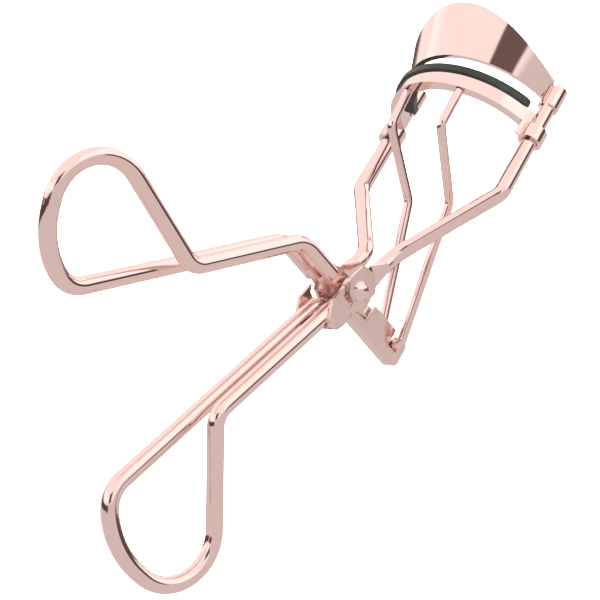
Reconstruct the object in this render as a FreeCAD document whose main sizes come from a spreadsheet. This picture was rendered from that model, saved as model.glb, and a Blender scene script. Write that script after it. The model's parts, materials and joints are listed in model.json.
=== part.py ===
"""Eyelash curler: a wire frame, a sprung lever and a sliding lower jaw.

Working frame: the tool's plane of symmetry is z = 0, +Y runs along the guide arms towards
the jaws, and the jaws and both handles bulge towards -X. Every sub-part is drawn there and
then gets one common Placement, which lays the tool on its side on the plane z = 0.
All sizes are millimetres.
"""
import FreeCAD, Part
import math
import os
import Sketcher

Vector = FreeCAD.Vector

SIZES = {
    # wires
    "handle_wire": 2.6,
    "link_wire_size": 1.55,
    "strand_spacing": 4.0,
    # guide arms
    "rod_spacing": 30.0,
    "rod_top": 5.4,
    "rod_end_fillet": 0.5,
    "arm_bend_along": -16.4,
    "arm_bend_radius": 2.6,
    "knee_across": -2.3,
    "knee_along": -31.3,
    "knee_radius": 7.0,
    "eye_offset": 3.05,
    "eye_thickness": 0.4,
    "eye_radius": 2.0,
    "eye_flat_length": 4.4,
    "eye_neck": 2.6,
    "eye_strip_half_width": 1.85,
    # pivot
    "pivot_across": -5.4,
    "pivot_along": -40.8,
    "pin_radius": 1.1,
    "pin_clearance": 0.05,
    "head_radius": 1.65,
    "head_height": 0.9,
    # frame bracket
    "bracket_width": 7.7,
    "bracket_inside": 6.5,
    "cheek_corner": 0.9,
    # lever
    "tongue_thickness": 1.4,
    "channel_width": 1.9,
    "channel_inside": 0.9,
    "channel_corner": 1.3,
    # handles
    "crank_radius": 5.0,
    "mouth_radius": 3.6,
    # upper jaw
    "jaw_centre_across": 2.9,
    "upper_edge_radius": 13.8,
    "upper_top_radius": 16.9,
    "upper_edge_along": 2.7,
    "upper_top_along": 12.4,
    "upper_thickness": 0.8,
    "upper_sweep": 158.0,
    "upper_crown_radius": 22.0,
    "upper_crown_top": 11.7,
    "sleeve_bottom": 1.2,
    "sleeve_length": 4.0,
    "sleeve_radius": 1.7,
    "sleeve_slot": 0.9,
    "rod_fit": 0.02,
    # lower jaw
    "lower_outer_radius": 15.0,
    "lower_inner_radius": 13.1,
    "lower_bottom": -3.5,
    "lower_height": 2.5,
    "lower_wall": 0.5,
    "lower_sweep": 150.0,
    "slider_radius": 2.05,
    "slider_length": 2.5,
    "slider_top": -3.4,
    "slider_clearance": 0.08,
    "skirt_gap_sweep": 136.0,
    # pad
    "pad_outer_radius": 15.4,
    "pad_inner_radius": 11.9,
    "pad_top": 0.2,
    "pad_sweep": 138.0,
    "pad_corner": 1.3,
    # link wire
    "link_top_across": -9.9,
    "link_top_along": -3.56,
    "link_top_offset": 5.5,
    # spring
    "spring_wire": 0.5,
    "spring_radius": 1.9,
    "spring_pitch": 0.53,
    "spring_start": 1.5,
    "spring_corner": 0.4,
    "spring_tail": 2.0,
    # how far the cutting bodies reach past what they cut
    "cut_over": 1.0,
    # resting attitude on the table
    "lay_tilt": 8.25,
    "lay_roll": -5.751,
    "lay_across": 23.727,
    "lay_along": 42.827,
    "lay_lift": 18.305,
}

OUTLINES = {
    # x, y of the corners, in the plane of symmetry
    "cheek": [(-9.4, -45.5), (-8.4, -40.3), (-7.4, -37.2), (-4.7, -37.0), (-2.5, -38.9),
              (-3.2, -41.3), (-4.7, -45.0), (-5.0, -47.2), (-5.9, -48.8), (-7.7, -49.0)],
    "hollow": [(-12.5, -46.9), (-10.0, -35.0), (0.0, -35.0), (0.0, -43.6), (-5.0, -44.7),
               (-5.7, -47.2), (-7.4, -52.0)],
    "window": [(-9.1, -41.7), (-8.1, -41.3), (-7.4, -42.5), (-5.7, -43.2), (-5.6, -44.3),
               (-8.2, -43.6)],
    "tongue": [(-13.6, -43.4), (-13.6, -40.2), (-8.4, -38.9), (0.0, -38.8), (0.0, -43.7),
               (-7.8, -43.7)],
    "channel": [(-2.9, -43.7), (-2.9, -39.2), (-1.8, -38.7), (11.5, -38.7), (11.5, -43.7)],
    "trough": [(-2.3, -43.2), (-2.3, -38.0), (12.0, -38.0), (12.0, -41.8), (10.6, -43.2)],
    "notch": [(-0.1, -38.0), (1.5, -38.0), (1.3, -41.9), (-0.35, -41.9)],
    "seat": [(7.75, -38.0), (9.65, -38.0), (9.85, -41.6), (7.75, -41.6)],
}

# a finger loop's corners: distance out from its mouth, distance aside, share of the strand's
# offset from the plane of symmetry, and the corner's radius
LOOP_CORNERS = [
    (19.7, 0.1, -1.0, 5.2),
    (23.8, 7.4, -0.4, 11.6),
    (20.6, 17.3, 0.4, 7.3),
    (11.1, 18.5, 1.0, 7.3),
]

# how near 1 a direction's component is when the direction counts as parallel to that axis
ALMOST_ONE = 0.999999

doc = FreeCAD.newDocument("eyelash_curler")
sheet = doc.addObject("Spreadsheet::Sheet", "Dimensions")


def fill_sheet():
    """Write every driving dimension into the sheet, with its alias."""
    row = 1
    cells = dict(SIZES)
    for name, corners in OUTLINES.items():
        for number, (x, y) in enumerate(corners, start=1):
            cells[f"{name}_corner_{number}_x"] = x
            cells[f"{name}_corner_{number}_y"] = y
    for alias, amount in cells.items():
        sheet.set(f"A{row}", alias)
        sheet.set(f"B{row}", str(amount))
        sheet.setAlias(f"B{row}", alias)
        row += 1
    doc.recompute()


fill_sheet()


def size(alias):
    """A dimension read back from the sheet."""
    return float(sheet.get(alias))


PIVOT = Vector(size("pivot_across"), size("pivot_along"), 0)
HALF_SPACING = size("rod_spacing") / 2
WIRE = size("handle_wire")
STRAND = size("strand_spacing") / 2

# the two handles: where the strands start and crank, and the loop's mouth and direction
HANDLE_START = Vector(-10.9, -41.75, 0)
HANDLE_CRANK = Vector(-18.9, -41.75, 0)
HANDLE_MOUTH = Vector(-34.1, -58.7, 0)
HANDLE_TURN = 228.0
GRIP_START = Vector(-6.95, -44.9, 0)
GRIP_MOUTH = Vector(-16.4, -72.1, 0)
GRIP_TURN = 250.7

# the link wire: its crossbar in the lever, then each leg's two bends
LINK_CROSSBAR = Vector(8.75, -40.7, 0)
LINK_FOOT_OFFSET = 2.35
LINK_BENDS = [Vector(1.1, -17.7, 4.4), Vector(-9.5, -10.5, 5.3)]
LINK_RADII = [1.1, 2.2, 2.2]

# the spring: where its bail crosses the lever, which way its two legs leave the coils
SPRING_BAIL = Vector(0.7, -41.4, 0)
SPRING_LEG_ANGLE = -24.0
SPRING_WHOLE_TURNS = 2


def bind(thing, prop, expression):
    """Tie a property to the sheet; words in the expression that are aliases get its name."""
    words = expression.split(" ")
    linked = [f"Dimensions.{word}" if word in SIZES else word for word in words]
    thing.setExpression(prop, " ".join(linked))


def computed(name, shape):
    """A sub-part whose shape is worked out from the sheet's sizes."""
    feature = doc.addObject("Part::Feature", name)
    feature.Shape = shape
    feature.Label = name
    return feature


def bent_wire(corners, radii):
    """Straight runs joined by tangent arcs; radii belong to the corners between the ends."""
    edges = []
    start = corners[0]
    for index, radius in enumerate(radii, start=1):
        corner = corners[index]
        into = (corner - corners[index - 1]).normalize()
        out = (corners[index + 1] - corner).normalize()
        turn = into.getAngle(out)
        reach = radius * math.tan(turn / 2)
        first = corner - into * reach
        last = corner + out * reach
        bulge = (out - into).normalize()
        middle = corner + bulge * (radius / math.cos(turn / 2) - radius)
        edges.append(Part.LineSegment(start, first).toShape())
        edges.append(Part.Arc(first, middle, last).toShape())
        start = last
    edges.append(Part.LineSegment(start, corners[-1]).toShape())
    return Part.Wire(edges)


def round_bar(path, diameter):
    """A bar of round section along a path."""
    start = path.OrderedEdges[0]
    place = start.valueAt(start.FirstParameter)
    along = start.tangentAt(start.FirstParameter)
    section = Part.Wire(Part.makeCircle(diameter / 2, place, along))
    return path.makePipeShell([section], True, True)


def plane_of(body, role):
    """One of a body's own reference planes."""
    return next(item for item in body.Origin.OriginFeatures if item.Role == role)


def outline_sketch(body, name, outline):
    """A closed polygon on the plane of symmetry, each corner bound to its two cells."""
    sketch = body.newObject("Sketcher::SketchObject", name)
    sketch.AttachmentSupport = [(plane_of(body, "XY_Plane"), "")]
    sketch.MapMode = "FlatFace"
    corners = [Vector(x, y, 0) for x, y in OUTLINES[outline]]
    count = len(corners)
    for index, corner in enumerate(corners):
        sketch.addGeometry(Part.LineSegment(corner, corners[(index + 1) % count]), False)
    for index in range(count):
        sketch.addConstraint(Sketcher.Constraint("Coincident", index, 2, (index + 1) % count, 1))
    for index, corner in enumerate(corners):
        for kind, amount, axis in (("DistanceX", corner.x, "x"), ("DistanceY", corner.y, "y")):
            number = sketch.addConstraint(Sketcher.Constraint(kind, -1, 1, index, 1, amount))
            cell = f"Dimensions.{outline}_corner_{index + 1}_{axis}"
            sketch.setExpression(f"Constraints[{number}]", cell)
    return sketch


def symmetric_pad(body, name, sketch, thickness):
    """An outline thickened equally on both sides of the plane of symmetry."""
    pad = body.newObject("PartDesign::Pad", name)
    pad.Profile = sketch
    pad.Midplane = True
    bind(pad, "Length", thickness)
    return pad


def symmetric_pocket(body, name, sketch, depth):
    """An outline cut out equally on both sides of the plane of symmetry."""
    pocket = body.newObject("PartDesign::Pocket", name)
    pocket.Profile = sketch
    pocket.Midplane = True
    bind(pocket, "Length", depth)
    return pocket


def circle_sketch(body, name, centre, radius):
    """A circle on the plane of symmetry; centre and radius are expressions over the sheet."""
    sketch = body.newObject("Sketcher::SketchObject", name)
    sketch.AttachmentSupport = [(plane_of(body, "XY_Plane"), "")]
    sketch.MapMode = "FlatFace"
    sketch.addGeometry(Part.Circle(Vector(-1, -1, 0), Vector(0, 0, 1), 1.0), False)
    for kind, expression in (("DistanceX", centre[0]), ("DistanceY", centre[1])):
        number = sketch.addConstraint(Sketcher.Constraint(kind, -1, 1, 0, 3, -1.0))
        bind(sketch, f"Constraints[{number}]", expression)
    number = sketch.addConstraint(Sketcher.Constraint("Radius", 0, 1.0))
    bind(sketch, f"Constraints[{number}]", radius)
    return sketch


def edges_across(shape):
    """Names of the straight edges that run along z."""
    names = []
    for number, edge in enumerate(shape.Edges, start=1):
        if isinstance(edge.Curve, Part.Line) and abs(edge.Curve.Direction.z) > ALMOST_ONE:
            names.append(f"Edge{number}")
    return names


def round_corners(body, name, base, radius):
    """Round every corner of a padded outline."""
    fillet = body.newObject("PartDesign::Fillet", name)
    fillet.Base = (base, edges_across(base.Shape))
    bind(fillet, "Radius", radius)
    return fillet


def guide_arm(name, side):
    """One side of the frame: a straight rod, a splayed run and a flattened eye at the pivot."""
    offset = side * size("eye_offset")
    top = Vector(0, size("rod_top"), side * HALF_SPACING)
    bend = Vector(0, size("arm_bend_along"), side * HALF_SPACING)
    knee = Vector(size("knee_across"), size("knee_along"), offset)
    eye = Vector(PIVOT.x, PIVOT.y, offset)
    along = (eye - knee).normalize()
    flat_length = size("eye_flat_length")
    neck_start = eye - along * (flat_length + size("eye_neck"))
    path = bent_wire([top, bend, knee, neck_start], [size("arm_bend_radius"), size("knee_radius")])
    bar = round_bar(path, WIRE)
    rim = max(bar.Edges, key=lambda edge: edge.CenterOfMass.y)
    bar = bar.makeFillet(size("rod_end_fillet"), [rim])
    thin = size("eye_thickness") / 2
    turn = FreeCAD.Rotation(Vector(1, 0, 0), Vector(0, 0, 1), -along, "ZXY")
    round_wire = Part.Wire(Part.makeCircle(WIRE / 2))
    round_wire.Placement = FreeCAD.Placement(neck_start, turn)
    flat = Part.Ellipse(Vector(0, 0, 0), size("eye_strip_half_width"), thin)
    flat_wire = Part.Wire(flat.toShape())
    flat_wire.Placement = FreeCAD.Placement(eye - along * flat_length, turn)
    neck = Part.makeLoft([round_wire, flat_wire], True, True)
    strip = Part.Face(flat_wire).extrude(along * flat_length)
    low = Vector(PIVOT.x, PIVOT.y, offset - thin)
    disc = Part.makeCylinder(size("eye_radius"), 2 * thin, low)
    hole = Part.makeCylinder(size("pin_radius"), 2 * thin, low)
    shape = bar.fuse([neck, strip, disc]).removeSplitter().cut(hole)
    return computed(name, shape)


def strand_corners(start, crank, mouth, direction, sideways):
    """Corners and radii of a handle wire: in on one strand, round the loop, back on the other."""
    corners = [Vector(p.x, p.y, -STRAND) for p in (start, crank) if p is not None]
    radii = [size("crank_radius")] * (len(corners) - 1)
    for along, across, share, radius in LOOP_CORNERS:
        place = mouth + direction * along + sideways * across
        corners.append(Vector(place.x, place.y, share * STRAND))
        radii.append(radius)
    corners.append(Vector(mouth.x, mouth.y, STRAND))
    radii.append(size("mouth_radius"))
    back = [Vector(p.x, p.y, STRAND) for p in (crank, start) if p is not None]
    radii.extend([size("crank_radius")] * (len(back) - 1))
    return corners + back, radii


def handle(name, start, crank, mouth, turn, mirror):
    """A handle bent from one wire: two parallel strands that open into a finger loop."""
    direction = Vector(math.cos(math.radians(turn)), math.sin(math.radians(turn)), 0)
    sideways = Vector(-direction.y, direction.x, 0) * mirror
    corners, radii = strand_corners(start, crank, mouth, direction, sideways)
    return computed(name, round_bar(bent_wire(corners, radii), WIRE))


def crimped(handle_wire, clasp):
    """The handle wire with the bracket's cheeks pressed into its ends."""
    handle_wire.Shape = handle_wire.Shape.cut(clasp.Shape)
    return handle_wire


def frame_bracket():
    """A folded clasp: two cheeks round the pivot, closed below the spring by a web."""
    body = doc.addObject("PartDesign::Body", "frame_bracket")
    cheek = symmetric_pad(body, "Cheeks", outline_sketch(body, "CheekOutline", "cheek"),
                          "bracket_width")
    doc.recompute()
    round_corners(body, "CheekCorners", cheek, "cheek_corner")
    symmetric_pocket(body, "Inside", outline_sketch(body, "InsideOutline", "hollow"),
                     "bracket_inside")
    hole = circle_sketch(body, "PinHole", ("pivot_across", "pivot_along"), "pin_radius")
    symmetric_pocket(body, "PinHoles", hole, "bracket_width * 2")
    symmetric_pocket(body, "SpringWindows", outline_sketch(body, "WindowOutline", "window"),
                     "bracket_width * 2")
    return body


def lever_plate():
    """A stamped lever: a flat tongue between the handle's strands, folded into a channel."""
    body = doc.addObject("PartDesign::Body", "lever_plate")
    channel = symmetric_pad(body, "Channel", outline_sketch(body, "ChannelOutline", "channel"),
                            "channel_width")
    doc.recompute()
    round_corners(body, "ChannelCorners", channel, "channel_corner")
    symmetric_pad(body, "Tongue", outline_sketch(body, "TongueOutline", "tongue"),
                  "tongue_thickness")
    symmetric_pocket(body, "Trough", outline_sketch(body, "TroughOutline", "trough"),
                     "channel_inside")
    for name, outline in (("SpringNotch", "notch"), ("CrossbarSeat", "seat")):
        symmetric_pocket(body, name, outline_sketch(body, f"{name}Outline", outline),
                         "channel_width * 2")
    hole = circle_sketch(body, "PinHole", ("pivot_across", "pivot_along"),
                         "pin_radius + pin_clearance")
    symmetric_pocket(body, "PinBore", hole, "channel_width * 2")
    return body


def pivot_pin():
    """A rivet: a plain shank with a domed head on each end."""
    reach = size("bracket_width") / 2
    head = size("head_height")
    radius = size("head_radius")
    shank = Part.makeCylinder(size("pin_radius"), 2 * reach, PIVOT - Vector(0, 0, reach))
    ball = (radius ** 2 + head ** 2) / (2 * head)
    heads = []
    for side in (-1, 1):
        centre = PIVOT + Vector(0, 0, side * (reach + head - ball))
        column = Part.makeCylinder(radius, head, PIVOT + Vector(0, 0, side * reach),
                                   Vector(0, 0, side))
        heads.append(Part.makeSphere(ball, centre).common(column))
    return computed("pivot_pin", shank.fuse(heads).removeSplitter())


def torsion_spring():
    """Two coils round the pin, joined by a bail that sits in the lever's notch."""
    radius = size("spring_radius")
    start = size("spring_start")
    reach = SPRING_BAIL - PIVOT
    lean = math.atan2(reach.y, reach.x)
    first_angle = lean - math.acos(radius / reach.Length)
    last_angle = math.radians(SPRING_LEG_ANGLE) - 2 * math.pi * SPRING_WHOLE_TURNS
    turns = (first_angle - last_angle) / (2 * math.pi)
    touch = PIVOT + Vector(math.cos(first_angle), math.sin(first_angle), 0) * radius
    pitch = size("spring_pitch")
    helix = Part.makeHelix(pitch, pitch * turns, radius, 0, True)
    helix.rotate(Vector(0, 0, 0), Vector(0, 0, 1), math.degrees(first_angle))
    helix.translate(PIVOT + Vector(0, 0, start))
    coil = helix.Edges[0]
    begin, into = coil.valueAt(coil.FirstParameter), coil.tangentAt(coil.FirstParameter)
    end, out = coil.valueAt(coil.LastParameter), coil.tangentAt(coil.LastParameter)
    leg_length = (touch - SPRING_BAIL).Length - size("spring_corner")
    leg_start = begin - into * leg_length
    cross = Vector(leg_start.x, leg_start.y, 0)
    middle = bent_wire([cross, leg_start, begin], [size("spring_corner")])
    tail = Part.LineSegment(end, end + out * size("spring_tail")).toShape()
    path = Part.Wire(middle.OrderedEdges + [coil, tail])
    half = round_bar(path, size("spring_wire"))
    other = half.mirror(Vector(0, 0, 0), Vector(0, 0, 1))
    return computed("torsion_spring", half.fuse(other).removeSplitter())


def sector(name, kind, radii, low, height, sweep=None):
    """A full or part turn of a cylinder or cone about the jaws' own axis, centred on -X."""
    block = doc.addObject(f"Part::{kind}", name)
    if kind == "Cone":
        bind(block, "Radius1", radii[0])
        bind(block, "Radius2", radii[1])
    else:
        bind(block, "Radius", radii[0])
    bind(block, "Height", height)
    if sweep:
        bind(block, "Angle", sweep)
        doc.recompute()
    upright = FreeCAD.Rotation(Vector(-1, 0, 0), Vector(0, 0, 1), Vector(0, 1, 0), "ZXY")
    half = FreeCAD.Rotation(Vector(0, 0, 1), -float(block.Angle) / 2)
    base = Vector(size("jaw_centre_across"), 0, 0)
    block.Placement = FreeCAD.Placement(base, upright.multiply(half))
    bind(block, "Placement.Base.y", low)
    return block


def rod_cylinder(name, side, radius, low, height):
    """A cylinder about one guide rod."""
    block = doc.addObject("Part::Cylinder", name)
    bind(block, "Radius", radius)
    bind(block, "Height", height)
    block.Placement = FreeCAD.Placement(Vector(0, 0, 0), FreeCAD.Rotation(Vector(1, 0, 0), -90))
    bind(block, "Placement.Base.y", low)
    bind(block, "Placement.Base.z", f"{side} * rod_spacing / 2")
    return block


def joined(name, kind, base, tool):
    """A Cut or a Common of two document objects."""
    result = doc.addObject(f"Part::{kind}", name)
    result.Base = base
    result.Tool = tool
    return result


def merged(name, shapes):
    """Several document objects fused into one."""
    result = doc.addObject("Part::MultiFuse", name)
    result.Shapes = shapes
    result.Refine = True
    return result


def sleeve_slot(side):
    """The gap left in a rolled sleeve, between its free edge and the plate it is rolled from."""
    block = doc.addObject("Part::Box", f"SleeveSlot{side + 2}")
    bind(block, "Length", "sleeve_radius + cut_over")
    bind(block, "Width", "sleeve_length + 2 * cut_over")
    bind(block, "Height", "sleeve_slot")
    bind(block, "Placement.Base.x", "-1 * sleeve_radius - cut_over")
    bind(block, "Placement.Base.y", "sleeve_bottom - cut_over")
    inner = "0 * sleeve_slot" if side > 0 else "sleeve_slot"
    bind(block, "Placement.Base.z", f"{side} * rod_spacing / 2 - {inner}")
    return block


def upper_jaw():
    """A flared, arched plate whose ends roll into sleeves on the two rods."""
    height = "upper_top_along - upper_edge_along"
    radii = ("upper_edge_radius", "upper_top_radius")
    outer = sector("UpperOuter", "Cone", [f"{radius} + upper_thickness" for radius in radii],
                   "upper_edge_along", height, "upper_sweep")
    inner = sector("UpperInner", "Cone", radii, "upper_edge_along", height)
    shell = joined("UpperShell", "Cut", outer, inner)
    crown = doc.addObject("Part::Cylinder", "UpperCrown")
    bind(crown, "Radius", "upper_crown_radius")
    bind(crown, "Height", "rod_spacing * 2")
    crown.Placement = FreeCAD.Placement(Vector(0, 0, 0), FreeCAD.Rotation(Vector(0, 1, 0), 90))
    bind(crown, "Placement.Base.x", "-1 * rod_spacing")
    bind(crown, "Placement.Base.y", "upper_crown_top - upper_crown_radius")
    plate = joined("UpperPlate", "Common", shell, crown)
    sleeves = [rod_cylinder(f"UpperSleeve{side + 2}", side, "sleeve_radius", "sleeve_bottom",
                            "sleeve_length") for side in (-1, 1)]
    cuts = [rod_cylinder(f"UpperBore{side + 2}", side, "handle_wire / 2 + rod_fit",
                         "sleeve_bottom - cut_over", "upper_top_along") for side in (-1, 1)]
    cuts += [sleeve_slot(side) for side in (-1, 1)]
    solid = merged("UpperSolid", [plate] + sleeves)
    return joined("upper_jaw", "Cut", solid, merged("UpperCuts", cuts))


def lower_jaw():
    """A curved trough for the pad; its ends drop into a sliding collar on each rod."""
    outer = sector("LowerOuter", "Cylinder", ["lower_outer_radius"], "lower_bottom",
                   "lower_height", "lower_sweep")
    inner = sector("LowerInner", "Cylinder", ["lower_inner_radius"], "lower_bottom - cut_over",
                   "lower_height + 2 * cut_over")
    groove_out = sector("GrooveOuter", "Cylinder", ["lower_outer_radius - lower_wall"],
                        "lower_bottom + lower_wall", "lower_height")
    groove_in = sector("GrooveInner", "Cylinder", ["lower_inner_radius + lower_wall"],
                       "lower_bottom", "lower_height + 2 * cut_over")
    band = joined("LowerBand", "Cut", outer, inner)
    groove = joined("LowerGroove", "Cut", groove_out, groove_in)
    trough = joined("LowerTrough", "Cut", band, groove)
    foot = "slider_top - slider_length"
    skirt = sector("SkirtOuter", "Cylinder", ["lower_outer_radius"], foot, "slider_length",
                   "lower_sweep")
    core = sector("SkirtInner", "Cylinder", ["lower_outer_radius - lower_wall"],
                  f"{foot} - cut_over", "slider_length + 2 * cut_over")
    gap = sector("SkirtGap", "Cylinder", ["lower_outer_radius + cut_over"],
                 f"{foot} - cut_over", "slider_length + 2 * cut_over", "skirt_gap_sweep")
    skirts = joined("LowerSkirts", "Cut", joined("SkirtShell", "Cut", skirt, core), gap)
    sliders = [rod_cylinder(f"Slider{side + 2}", side, "slider_radius", foot, "slider_length")
               for side in (-1, 1)]
    bores = [rod_cylinder(f"SliderBore{side + 2}", side, "handle_wire / 2 + slider_clearance",
                          f"{foot} - cut_over", "slider_length + lower_height + 2 * cut_over")
             for side in (-1, 1)]
    solid = merged("LowerSolid", [trough, skirts] + sliders)
    return joined("lower_jaw", "Cut", solid, merged("LowerBores", bores))


def outer_end_edges(shape, radius):
    """The pad face's four upright end edges that lie on its outer radius, by number."""
    found = []
    for number, edge in enumerate(shape.Edges, start=1):
        if not isinstance(edge.Curve, Part.Line) or abs(edge.Curve.Direction.y) < ALMOST_ONE:
            continue
        place = edge.CenterOfMass
        if math.hypot(place.x - size("jaw_centre_across"), place.z) > radius - WIRE / 10:
            found.append(number)
    return found


def pad():
    """The replaceable strip: a narrow stem in the trough under a wider pressing face."""
    head_low = "lower_bottom + lower_height"
    head = sector("PadHead", "Cylinder", ["pad_outer_radius"], head_low,
                  "pad_top - lower_bottom - lower_height", "pad_sweep")
    head_core = sector("PadHeadCore", "Cylinder", ["pad_inner_radius"], "lower_bottom",
                       "pad_top - lower_bottom + cut_over")
    stem = sector("PadStem", "Cylinder", ["lower_outer_radius - lower_wall"],
                  "lower_bottom + lower_wall", "lower_height - lower_wall", "pad_sweep")
    stem_core = sector("PadStemCore", "Cylinder", ["lower_inner_radius + lower_wall"],
                       "lower_bottom", "lower_height + cut_over")
    face = joined("PadFace", "Cut", head, head_core)
    doc.recompute()
    rounded = doc.addObject("Part::Fillet", "PadRoundedFace")
    rounded.Base = face
    corner = size("pad_corner")
    edges = outer_end_edges(face.Shape, size("pad_outer_radius"))
    rounded.Edges = [(number, corner, corner) for number in edges]
    tongue = joined("PadTongue", "Cut", stem, stem_core)
    return merged("pad", [rounded, tongue])


def link_wire():
    """One thin wire: a crossbar through the lever and two legs up to the lower jaw."""
    half = [LINK_CROSSBAR + Vector(0, 0, LINK_FOOT_OFFSET)] + LINK_BENDS
    half.append(Vector(size("link_top_across"), size("link_top_along"), size("link_top_offset")))
    left = [Vector(p.x, p.y, -p.z) for p in reversed(half)]
    radii = LINK_RADII[::-1] + LINK_RADII
    return computed("link_wire", round_bar(bent_wire(left + half, radii), size("link_wire_size")))


bracket = frame_bracket()
doc.recompute()
fixed_handle = handle("fixed_handle", GRIP_START, None, GRIP_MOUTH, GRIP_TURN, 1)
subparts = [
    upper_jaw(),
    guide_arm("guide_arm_left", -1),
    guide_arm("guide_arm_right", 1),
    bracket,
    crimped(fixed_handle, bracket),
    pivot_pin(),
    torsion_spring(),
    lever_plate(),
    handle("moving_handle", HANDLE_START, HANDLE_CRANK, HANDLE_MOUTH, HANDLE_TURN, -1),
    link_wire(),
    lower_jaw(),
    pad(),
]
doc.recompute()

tilt = FreeCAD.Rotation(Vector(1, 0, 0), size("lay_tilt"))
roll = FreeCAD.Rotation(Vector(0, 1, 0), size("lay_roll"))
shift = Vector(size("lay_across"), size("lay_along"), size("lay_lift"))
resting = FreeCAD.Placement(shift, roll.multiply(tilt))
for subpart in subparts:
    subpart.Label = subpart.Name
    subpart.Placement = resting.multiply(subpart.Placement)
doc.recompute()

failed = [thing.Name for thing in doc.Objects if {"Invalid", "Error"} & set(thing.State)]
if failed:
    raise RuntimeError(f"these objects did not compute: {failed}")

os.makedirs("parts", exist_ok=True)
for subpart in subparts:
    shape = subpart.Shape
    if shape.isNull() or not shape.isValid():
        raise RuntimeError(f"{subpart.Label} has no valid shape")
    shape.exportStep(f"parts/{subpart.Label}.step")
    box = shape.BoundBox
    print(f"{subpart.Label}: {len(shape.Solids)} solid(s), {shape.Volume:.1f} mm3, "
          f"x {box.XMin:.1f}..{box.XMax:.1f} y {box.YMin:.1f}..{box.YMax:.1f} "
          f"z {box.ZMin:.1f}..{box.ZMax:.1f}")
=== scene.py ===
"""Looks of an eyelash curler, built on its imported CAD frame. Lengths are in metres."""
import json
import math
import bmesh
import bpy
from mathutils import Matrix, Vector


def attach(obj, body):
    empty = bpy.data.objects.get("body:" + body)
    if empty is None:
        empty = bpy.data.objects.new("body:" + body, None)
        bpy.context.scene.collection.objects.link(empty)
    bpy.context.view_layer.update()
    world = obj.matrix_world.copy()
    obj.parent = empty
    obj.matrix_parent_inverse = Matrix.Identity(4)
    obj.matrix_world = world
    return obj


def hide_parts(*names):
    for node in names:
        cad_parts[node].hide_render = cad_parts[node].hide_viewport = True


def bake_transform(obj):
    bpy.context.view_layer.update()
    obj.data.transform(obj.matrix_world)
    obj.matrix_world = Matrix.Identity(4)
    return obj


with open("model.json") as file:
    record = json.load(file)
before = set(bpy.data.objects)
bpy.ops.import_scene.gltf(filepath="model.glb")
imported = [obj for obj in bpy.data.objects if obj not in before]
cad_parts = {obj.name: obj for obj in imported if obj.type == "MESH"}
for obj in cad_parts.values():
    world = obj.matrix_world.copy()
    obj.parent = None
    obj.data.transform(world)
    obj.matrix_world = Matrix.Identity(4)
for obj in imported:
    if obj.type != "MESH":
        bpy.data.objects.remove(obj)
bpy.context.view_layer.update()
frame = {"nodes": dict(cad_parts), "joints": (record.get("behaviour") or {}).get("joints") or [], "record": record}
nodes = frame["nodes"]
scene = bpy.context.scene

# the camera's place and its right, up and back directions
CAMERA_PLACE = Vector((-0.18462, -0.15465, 0.18584))
CAMERA_RIGHT = Vector((0.45456, 0.35706, 0.81602))
CAMERA_UP = Vector((-0.60991, 0.79244, -0.00699))
CAMERA_BACK = Vector((-0.64914, -0.49452, 0.57798))
CAMERA_LENS = 119.64
CAMERA_SENSOR = 36.0


# ---------------------------------------------------------------- materials

# how deep the ripples and the grain are
RIPPLE_DEPTH = 0.00002

# the folded sheet nodes, which have a satin finish
FOLDED_NODES = ("lever_plate", "frame_bracket")


def new_material(name):
    """A material, its node tree and its shader."""
    material = bpy.data.materials.new(name)
    material.use_nodes = True
    tree = material.node_tree
    return material, tree, tree.nodes["Principled BSDF"]


def noise(tree, scale, detail=3.0):
    """Noise in object space, so that it keeps its size on every piece."""
    place = tree.nodes.new("ShaderNodeTexCoord")
    texture = tree.nodes.new("ShaderNodeTexNoise")
    texture.inputs["Scale"].default_value = scale
    texture.inputs["Detail"].default_value = detail
    tree.links.new(place.outputs["Object"], texture.inputs["Vector"])
    return texture.outputs["Fac"]


def spread(tree, value, low, high):
    """Map a 0 to 1 value to a range."""
    ranged = tree.nodes.new("ShaderNodeMapRange")
    ranged.inputs["From Min"].default_value = 0.3
    ranged.inputs["From Max"].default_value = 0.7
    ranged.inputs["To Min"].default_value = low
    ranged.inputs["To Max"].default_value = high
    tree.links.new(value, ranged.inputs["Value"])
    return ranged.outputs["Result"]


def blend_colours(tree, value, first, second):
    """Run from one colour to another as the value rises."""
    ramp = tree.nodes.new("ShaderNodeValToRGB")
    ramp.color_ramp.elements[0].position = 0.3
    ramp.color_ramp.elements[1].position = 0.7
    ramp.color_ramp.elements[0].color = (*first, 1.0)
    ramp.color_ramp.elements[1].color = (*second, 1.0)
    tree.links.new(value, ramp.inputs["Fac"])
    return ramp.outputs["Color"]


def bumps(tree, value, depth, strength):
    """A surface that follows the value, as a normal."""
    bump = tree.nodes.new("ShaderNodeBump")
    bump.inputs["Distance"].default_value = depth
    bump.inputs["Strength"].default_value = strength
    tree.links.new(value, bump.inputs["Height"])
    return bump.outputs["Normal"]


def plated(name, light, dark, low, high, ripple):
    """Rose plating: slight drift of tone, haze from low to high and faint ripples."""
    material, tree, shader = new_material(name)
    shader.inputs["Metallic"].default_value = 1.0
    tone = noise(tree, 220.0)
    tree.links.new(blend_colours(tree, tone, dark, light), shader.inputs["Base Color"])
    haze = noise(tree, 900.0, 5.0)
    tree.links.new(spread(tree, haze, low, high), shader.inputs["Roughness"])
    waves = noise(tree, 420.0, 2.0)
    tree.links.new(bumps(tree, waves, RIPPLE_DEPTH, ripple), shader.inputs["Normal"])
    return material


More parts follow.
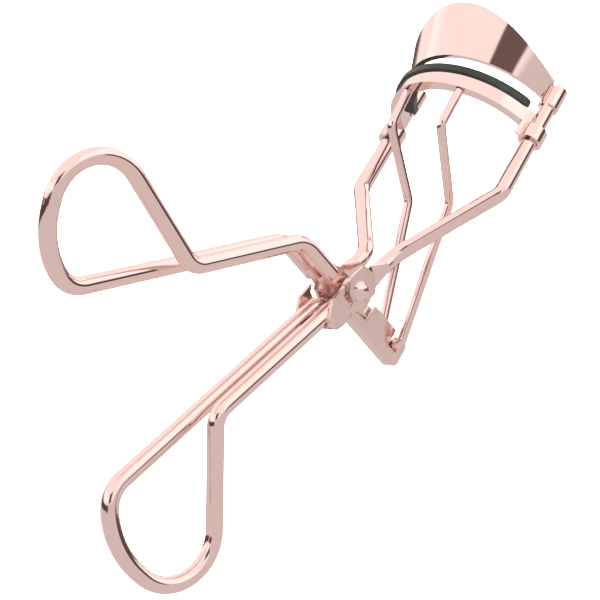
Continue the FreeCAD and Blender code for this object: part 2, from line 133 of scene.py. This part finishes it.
def silicone(name):
    """Matt, nearly black rubber with a fine grain."""
    material, tree, shader = new_material(name)
    grain = noise(tree, 2600.0, 4.0)
    colour = blend_colours(tree, noise(tree, 300.0), (0.006, 0.009, 0.007), (0.013, 0.018, 0.015))
    tree.links.new(colour, shader.inputs["Base Color"])
    tree.links.new(spread(tree, grain, 0.30, 0.42), shader.inputs["Roughness"])
    tree.links.new(bumps(tree, grain, RIPPLE_DEPTH, 0.25), shader.inputs["Normal"])
    return material


WIRE = plated("plated_wire", (0.95, 0.75, 0.71), (0.93, 0.73, 0.69), 0.03, 0.06, 0.08)
SHEET = plated("plated_sheet", (0.95, 0.77, 0.73), (0.93, 0.745, 0.70), 0.04, 0.07, 0.08)
SATIN = plated("plated_satin", (0.93, 0.74, 0.70), (0.90, 0.71, 0.67), 0.18, 0.24, 0.03)
SPRING = plated("plated_spring", (0.92, 0.73, 0.69), (0.87, 0.68, 0.64), 0.08, 0.14, 0.10)
RIVET = plated("plated_rivet", (0.94, 0.75, 0.71), (0.92, 0.73, 0.69), 0.14, 0.18, 0.01)
PAD = silicone("pad_rubber")
MATERIALS = {"plated_wire": WIRE, "plated_sheet": SHEET, "plated_spring": SPRING,
             "pad_rubber": PAD}

slots = {part["node"]: part["material_slot"] for part in frame["record"]["subparts"]}
for node, piece in nodes.items():
    finish = SATIN if node in FOLDED_NODES else MATERIALS[slots[node]]
    piece.data.materials.clear()
    piece.data.materials.append(finish)


# ---------------------------------------------------------------- pieces

# how far the folded sheets' edges are rounded, and how sharp an edge has to be for that
FOLD_EDGE_WIDTH = 0.00012
FOLD_EDGE_ANGLE = math.radians(35)

# the rivet's sizes, and how many rings each dome and points each ring have
HEAD_RADIUS = 0.00165
HEAD_HEIGHT = 0.0009
SHANK_RADIUS = 0.0011
DOME_RINGS = 12
RING_POINTS = 64

BODY_OF = {node: body for body, members in frame["record"]["behaviour"]["bodies"].items()
           for node in members}


def add_piece(name, mesh, material, node):
    """A visible piece that stands for one CAD node and moves with that node's body."""
    mesh.materials.clear()
    mesh.materials.append(material)
    piece = bpy.data.objects.new(name, mesh)
    scene.collection.objects.link(piece)
    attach(piece, BODY_OF[node])
    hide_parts(node)
    return piece


def softened(node, width, material):
    """A folded-sheet node with its hard edges rounded, so that they catch the light."""
    shape = bmesh.new()
    shape.from_mesh(nodes[node].data)
    bmesh.ops.remove_doubles(shape, verts=shape.verts, dist=1e-6)
    bmesh.ops.dissolve_limit(shape, angle_limit=math.radians(0.5), verts=shape.verts,
                             edges=shape.edges)
    sharp = [edge for edge in shape.edges
             if edge.is_manifold and edge.calc_face_angle() > FOLD_EDGE_ANGLE
             and edge.calc_length() > width]
    bmesh.ops.bevel(shape, geom=sharp, offset=width, offset_type="OFFSET", segments=2,
                    profile=0.6, affect="EDGES", clamp_overlap=True)
    bmesh.ops.triangulate(shape, faces=shape.faces)
    mesh = bpy.data.meshes.new(f"{node}_soft")
    shape.to_mesh(mesh)
    shape.free()
    mesh.shade_smooth()
    piece = add_piece(f"{node}_soft", mesh, material, node)
    normals = piece.modifiers.new("normals", "WEIGHTED_NORMAL")
    normals.weight = 100


def turned(name, profile, centre, axis, material, node):
    """A piece turned about an axis; the profile is (distance from the axis, distance along)."""
    side = axis.orthogonal().normalized()
    other = axis.cross(side)
    verts = []
    for radius, along in profile:
        for point in range(RING_POINTS):
            angle = 2 * math.pi * point / RING_POINTS
            verts.append(centre + axis * along
                         + (side * math.cos(angle) + other * math.sin(angle)) * radius)
    faces = []
    for ring in range(len(profile) - 1):
        for point in range(RING_POINTS):
            first = ring * RING_POINTS + point
            second = ring * RING_POINTS + (point + 1) % RING_POINTS
            faces.append((first, second, second + RING_POINTS, first + RING_POINTS))
    last = (len(profile) - 1) * RING_POINTS
    faces.append(tuple(reversed(range(RING_POINTS))))
    faces.append(tuple(range(last, last + RING_POINTS)))
    mesh = bpy.data.meshes.new(name)
    mesh.from_pydata(verts, [], faces)
    mesh.shade_smooth()
    mesh.set_sharp_from_angle(angle=math.radians(35))
    add_piece(name, mesh, material, node)


def pivot():
    """The lever's pivot: a point on it and its direction."""
    joint = next(joint for joint in frame["joints"] if joint["name"] == "lever_pivot")
    return Vector(joint["pos_m"]), Vector(joint["axis"]).normalized()


def rivet():
    """The pivot's shank and its two domed heads."""
    centre, axis = pivot()
    reach = [axis.dot(vertex.co - centre) for vertex in nodes["pivot_pin"].data.vertices]
    top = max(reach)
    face = top - HEAD_HEIGHT
    ball = (HEAD_RADIUS ** 2 + HEAD_HEIGHT ** 2) / (2 * HEAD_HEIGHT)
    widest = math.asin(HEAD_RADIUS / ball)
    angles = [widest * ring / DOME_RINGS for ring in range(1, DOME_RINGS + 1)]
    dome = [(ball * math.sin(angle), top - ball + ball * math.cos(angle)) for angle in angles]
    upper = dome + [(HEAD_RADIUS, face), (SHANK_RADIUS, face)]
    lower = [(radius, -along) for radius, along in reversed(upper)]
    turned("rivet", upper + lower, centre, axis, RIVET, "pivot_pin")


def spring():
    """The torsion spring as one piece copied from its CAD node."""
    mesh = nodes["torsion_spring"].data.copy()
    piece = bpy.data.objects.new("spring", mesh)
    scene.collection.objects.link(piece)
    centre, axis = pivot()
    arms = [vertex.co - centre for vertex in mesh.vertices]
    arms = [arm - axis * arm.dot(axis) for arm in arms]
    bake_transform(piece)
    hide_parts("torsion_spring")


# ---------------------------------------------------------------- studio

# the floor's half width, its own faint glow, and its brightness as the metal reflects it
FLOOR_HALF = 1.5
FLOOR_GLOW = 0.5
FLOOR_GREY = 0.69


def make_floor():
    """A plain pale floor that the metal doesn't reflect: the studio's own grey stands for it."""
    half = FLOOR_HALF
    corners = [(-half, -half, 0), (half, -half, 0), (half, half, 0), (-half, half, 0)]
    mesh = bpy.data.meshes.new("floor")
    mesh.from_pydata(corners, [], [(0, 1, 2, 3)])
    floor = bpy.data.objects.new("floor", mesh)
    scene.collection.objects.link(floor)
    material, tree, shader = new_material("floor_paper")
    tint = blend_colours(tree, noise(tree, 3.0), (0.95, 0.95, 0.95), (0.97, 0.97, 0.97))
    tree.links.new(tint, shader.inputs["Base Color"])
    shader.inputs["Roughness"].default_value = 0.9
    shader.inputs["Emission Color"].default_value = (1.0, 1.0, 1.0, 1.0)
    shader.inputs["Emission Strength"].default_value = FLOOR_GLOW
    mesh.materials.append(material)
    floor.visible_glossy = False


def dot(tree, vector, axis):
    """How far a direction goes along an axis."""
    node = tree.nodes.new("ShaderNodeVectorMath")
    node.operation = "DOT_PRODUCT"
    node.inputs[1].default_value = axis
    tree.links.new(vector, node.inputs[0])
    return node.outputs["Value"]


def step(tree, value, low, high):
    """A smooth step from 0 at low to 1 at high; low may be above high."""
    node = tree.nodes.new("ShaderNodeMapRange")
    node.interpolation_type = "SMOOTHSTEP"
    node.inputs["From Min"].default_value = min(low, high)
    node.inputs["From Max"].default_value = max(low, high)
    node.inputs["To Min"].default_value = 0.0 if low < high else 1.0
    node.inputs["To Max"].default_value = 1.0 if low < high else 0.0
    tree.links.new(value, node.inputs["Value"])
    return node.outputs["Result"]


def times(tree, first, second):
    """One value times another."""
    node = tree.nodes.new("ShaderNodeMath")
    node.operation = "MULTIPLY"
    tree.links.new(first, node.inputs[0])
    tree.links.new(second, node.inputs[1])
    return node.outputs["Value"]


def degrees(tree, operation, *values):
    """An inverse trigonometric function of one or two values, in degrees."""
    node = tree.nodes.new("ShaderNodeMath")
    node.operation = operation
    for value, socket in zip(values, node.inputs):
        tree.links.new(value, socket)
    scaled = tree.nodes.new("ShaderNodeMath")
    scaled.operation = "DEGREES"
    tree.links.new(node.outputs["Value"], scaled.inputs[0])
    return scaled.outputs["Value"]


def within(tree, value, low, high, soft):
    """1 between two limits and 0 outside them, with soft edges."""
    rise = step(tree, value, low - soft, low + soft)
    fall = step(tree, value, high + soft, high - soft)
    return times(tree, rise, fall)


def paint(tree, under, mask, grey):
    """Lay one grey over another where the mask is 1."""
    node = tree.nodes.new("ShaderNodeMix")
    node.data_type = "FLOAT"
    node.inputs["B"].default_value = grey
    tree.links.new(mask, node.inputs["Factor"])
    tree.links.new(under, node.inputs["A"])
    return node.outputs["Result"]


# a plain studio, in degrees: from and to across (0 towards the camera, + to its right), from
# and to in height, soft edge, then brightness; later surfaces cover earlier ones
STUDIO_PARTS = [
    # pale walls and ceiling
    (-180, 180, 14, 90, 3.0, 1.06),
    # two long soft boxes
    (-130, -20, 18, 30, 4.0, 1.30),
    (40, 150, 20, 60, 4.0, 1.30),
    # the dark far side of the room, and the dark gap between floor and walls
    (-181, -156, -20, 20, 6.0, 0.16),
    (156, 181, -20, 20, 6.0, 0.16),
    (-150, -20, 0, 12, 2.0, 0.10),
    (72, 160, 0, 14, 2.0, 0.10),
    # a dark board above the camera
    (-20, 10, 16, 35, 2.0, 0.15),
]

# the studio's tint where it is dark, where it is bright, and the brightness that counts as bright
DARK_TINT = (1.0, 0.66, 0.60, 1.0)
BRIGHT_TINT = (1.0, 0.915, 0.885, 1.0)
BRIGHT_FROM = 0.7


def make_world():
    """The studio that the metal reflects, fixed in the object's frame; the camera sees white."""
    world = bpy.data.worlds.new("studio")
    world.use_nodes = True
    scene.world = world
    tree = world.node_tree
    tree.nodes.clear()
    place = tree.nodes.new("ShaderNodeTexCoord").outputs["Generated"]
    right, up, front = [dot(tree, place, axis)
                        for axis in (CAMERA_RIGHT, CAMERA_UP, CAMERA_BACK)]
    across = degrees(tree, "ARCTAN2", right, front)
    height = degrees(tree, "ARCSINE", up)
    below = tree.nodes.new("ShaderNodeValue")
    below.outputs["Value"].default_value = FLOOR_GREY
    glow = below.outputs["Value"]
    for left_end, right_end, low, high, soft, grey in STUDIO_PARTS:
        mask = times(tree, within(tree, across, left_end, right_end, soft),
                     within(tree, height, low, high, soft))
        glow = paint(tree, glow, mask, grey)
    studio = tree.nodes.new("ShaderNodeBackground")
    tree.links.new(glow, studio.inputs["Strength"])
    warmth = tree.nodes.new("ShaderNodeValToRGB")
    warmth.color_ramp.elements[0].color = DARK_TINT
    warmth.color_ramp.elements[1].position = BRIGHT_FROM
    warmth.color_ramp.elements[1].color = BRIGHT_TINT
    tree.links.new(glow, warmth.inputs["Fac"])
    tree.links.new(warmth.outputs["Color"], studio.inputs["Color"])
    plain = tree.nodes.new("ShaderNodeBackground")
    plain.inputs["Color"].default_value = (1.0, 1.0, 1.0, 1.0)
    rays = tree.nodes.new("ShaderNodeLightPath")
    mix = tree.nodes.new("ShaderNodeMixShader")
    tree.links.new(rays.outputs["Is Camera Ray"], mix.inputs["Fac"])
    tree.links.new(studio.outputs["Background"], mix.inputs[1])
    tree.links.new(plain.outputs["Background"], mix.inputs[2])
    out = tree.nodes.new("ShaderNodeOutputWorld")
    tree.links.new(mix.outputs["Shader"], out.inputs["Surface"])


# the side of both area lights
LIGHT_SIZE = 1.4


def area_light(name, place, power):
    """A wide soft light aimed at the object; the metal doesn't mirror its square."""
    data = bpy.data.lights.new(name, "AREA")
    data.size = LIGHT_SIZE
    data.energy = power
    light = bpy.data.objects.new(name, data)
    scene.collection.objects.link(light)
    light.location = place
    light.rotation_euler = (-Vector(place)).to_track_quat("-Z", "Y").to_euler()
    light.visible_glossy = False


def make_camera():
    """The camera at the viewing angle."""
    data = bpy.data.cameras.new("camera")
    data.lens = CAMERA_LENS
    data.sensor_width = CAMERA_SENSOR
    data.clip_start = 0.01
    data.clip_end = 10.0
    camera = bpy.data.objects.new("camera", data)
    scene.collection.objects.link(camera)
    back = CAMERA_BACK.normalized()
    up = (CAMERA_UP - back * CAMERA_UP.dot(back)).normalized()
    right = up.cross(back)
    turn = Matrix((right, up, back)).transposed()
    camera.matrix_world = Matrix.Translation(CAMERA_PLACE) @ turn.to_4x4()
    scene.camera = camera


for folded_node in FOLDED_NODES:
    softened(folded_node, FOLD_EDGE_WIDTH, SATIN)
rivet()
spring()

make_floor()
make_world()
area_light("key", (-0.25, 0.35, 0.9), 26.0)
area_light("fill", (0.5, -0.5, 0.9), 22.0)
make_camera()
scene.view_settings.view_transform = "Standard"

# ---------------------------------------------------------------- last update of the view layer
bpy.context.view_layer.update()
